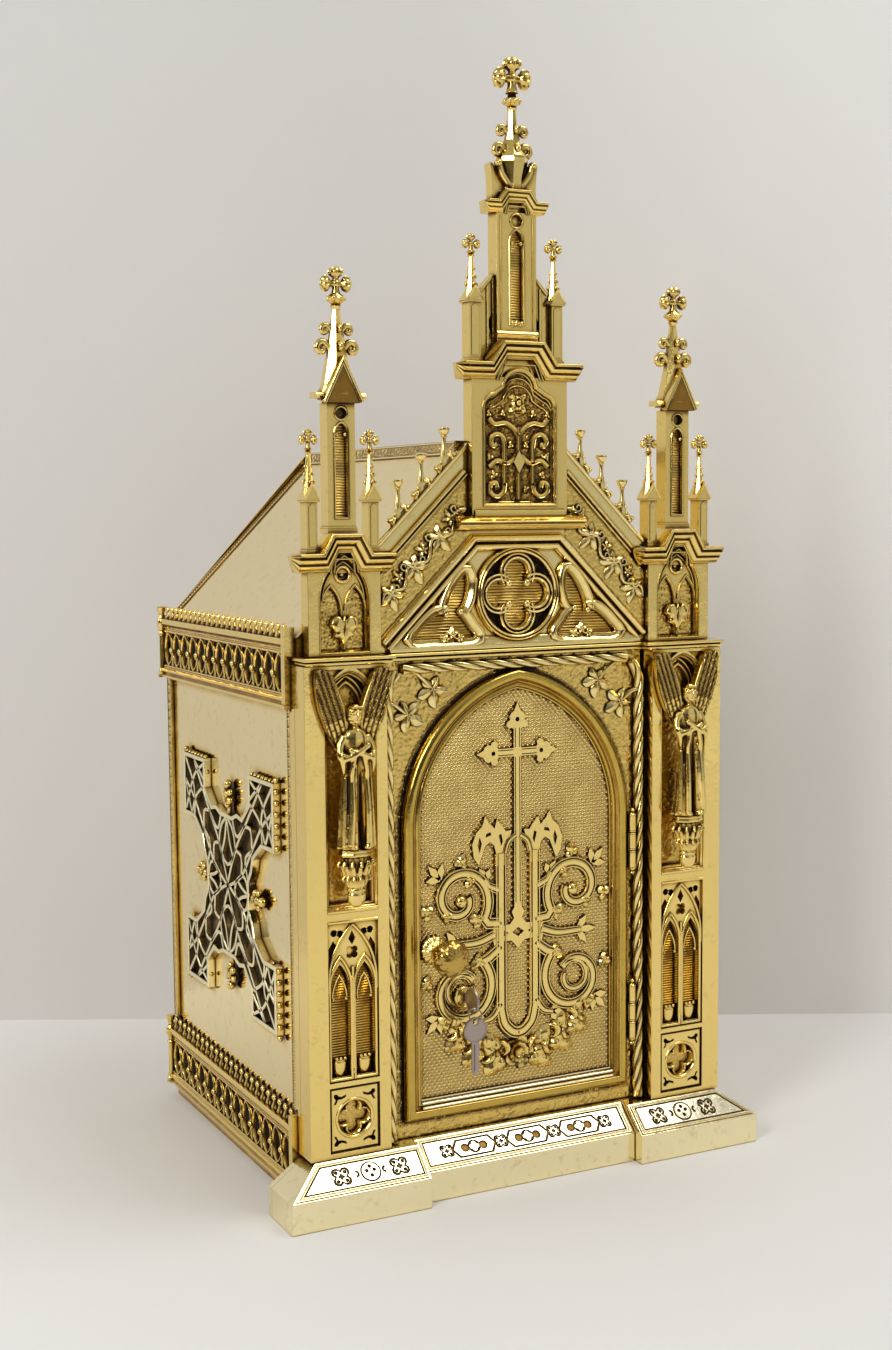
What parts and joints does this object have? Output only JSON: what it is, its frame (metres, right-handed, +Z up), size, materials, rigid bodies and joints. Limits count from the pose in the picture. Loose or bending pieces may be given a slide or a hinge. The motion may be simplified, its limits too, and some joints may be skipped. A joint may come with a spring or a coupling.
{
  "type": "altar tabernacle",
  "caption": "Gothic brass altar tabernacle: a hollow case with a hinged arched door, angels in the piers, a rose gable, turrets and a crowning spire.",
  "frame": {"origin": "centre of the footprint's bounding box, at the underside", "axes": "+X to the viewer's right, +Y from the door towards the back, +Z up"},
  "size_m": [0.437, 0.376, 0.9108],
  "materials": {
    "brass_antique": "cast and polished, with dark patina in the hollows",
    "brass_polished": "smooth polished sheet",
    "steel": "worn nickel-plated steel keys"
  },
  "bodies": {
    "case": {"angel_left": "brass_antique", "angel_right": "brass_antique", "back_moulding_lower": "brass_antique", "back_moulding_upper": "brass_antique", "back_sheet": "brass_polished", "floor_sheet": "brass_polished", "front_plate": "brass_antique", "gable": "brass_antique", "gallery_lower_left": "brass_antique", "gallery_lower_right": "brass_antique", "gallery_upper_left": "brass_antique", "gallery_upper_right": "brass_antique", "hinge_lower_case": "brass_antique", "hinge_upper_case": "brass_antique", "pier_left": "brass_antique", "pier_right": "brass_antique", "plinth_centre": "brass_antique", "plinth_left": "brass_antique", "plinth_right": "brass_antique", "rake_left": "brass_antique", "rake_right": "brass_antique", "roof_ridge": "brass_polished", "roof_slope_left": "brass_polished", "roof_slope_right": "brass_polished", "rope_side_left": "brass_antique", "rope_side_right": "brass_antique", "rope_top": "brass_antique", "side_sheet_left": "brass_polished", "side_sheet_right": "brass_polished", "side_tracery_left": "brass_antique", "side_tracery_right": "brass_antique", "string_ledge": "brass_antique", "tower_lower": "brass_antique", "tower_pinnacle_left": "brass_antique", "tower_pinnacle_right": "brass_antique", "tower_spire": "brass_antique", "tower_upper": "brass_antique", "trim_front_left": "brass_antique", "trim_front_right": "brass_antique", "trim_rear_left": "brass_antique", "trim_rear_right": "brass_antique", "turret_block_left": "brass_antique", "turret_block_right": "brass_antique", "turret_pinnacle_inner_left": "brass_antique", "turret_pinnacle_inner_right": "brass_antique", "turret_pinnacle_outer_left": "brass_antique", "turret_pinnacle_outer_right": "brass_antique", "turret_shaft_left": "brass_antique", "turret_shaft_right": "brass_antique"},
    "door": {"door": "brass_antique", "door_knob": "brass_antique", "lock": "brass_polished", "key_in_lock": "steel", "key_ring": "steel", "spare_key": "steel", "hinge_upper_door": "brass_antique", "hinge_lower_door": "brass_antique"}
  },
  "joints": [
    {"name": "door_hinge", "type": "hinge", "parent": "case", "child": "door", "pos_m": [0.1094, -0.149, 0.197], "axis": [0, 0, 1], "range_deg": [0, 110]}
  ]
}
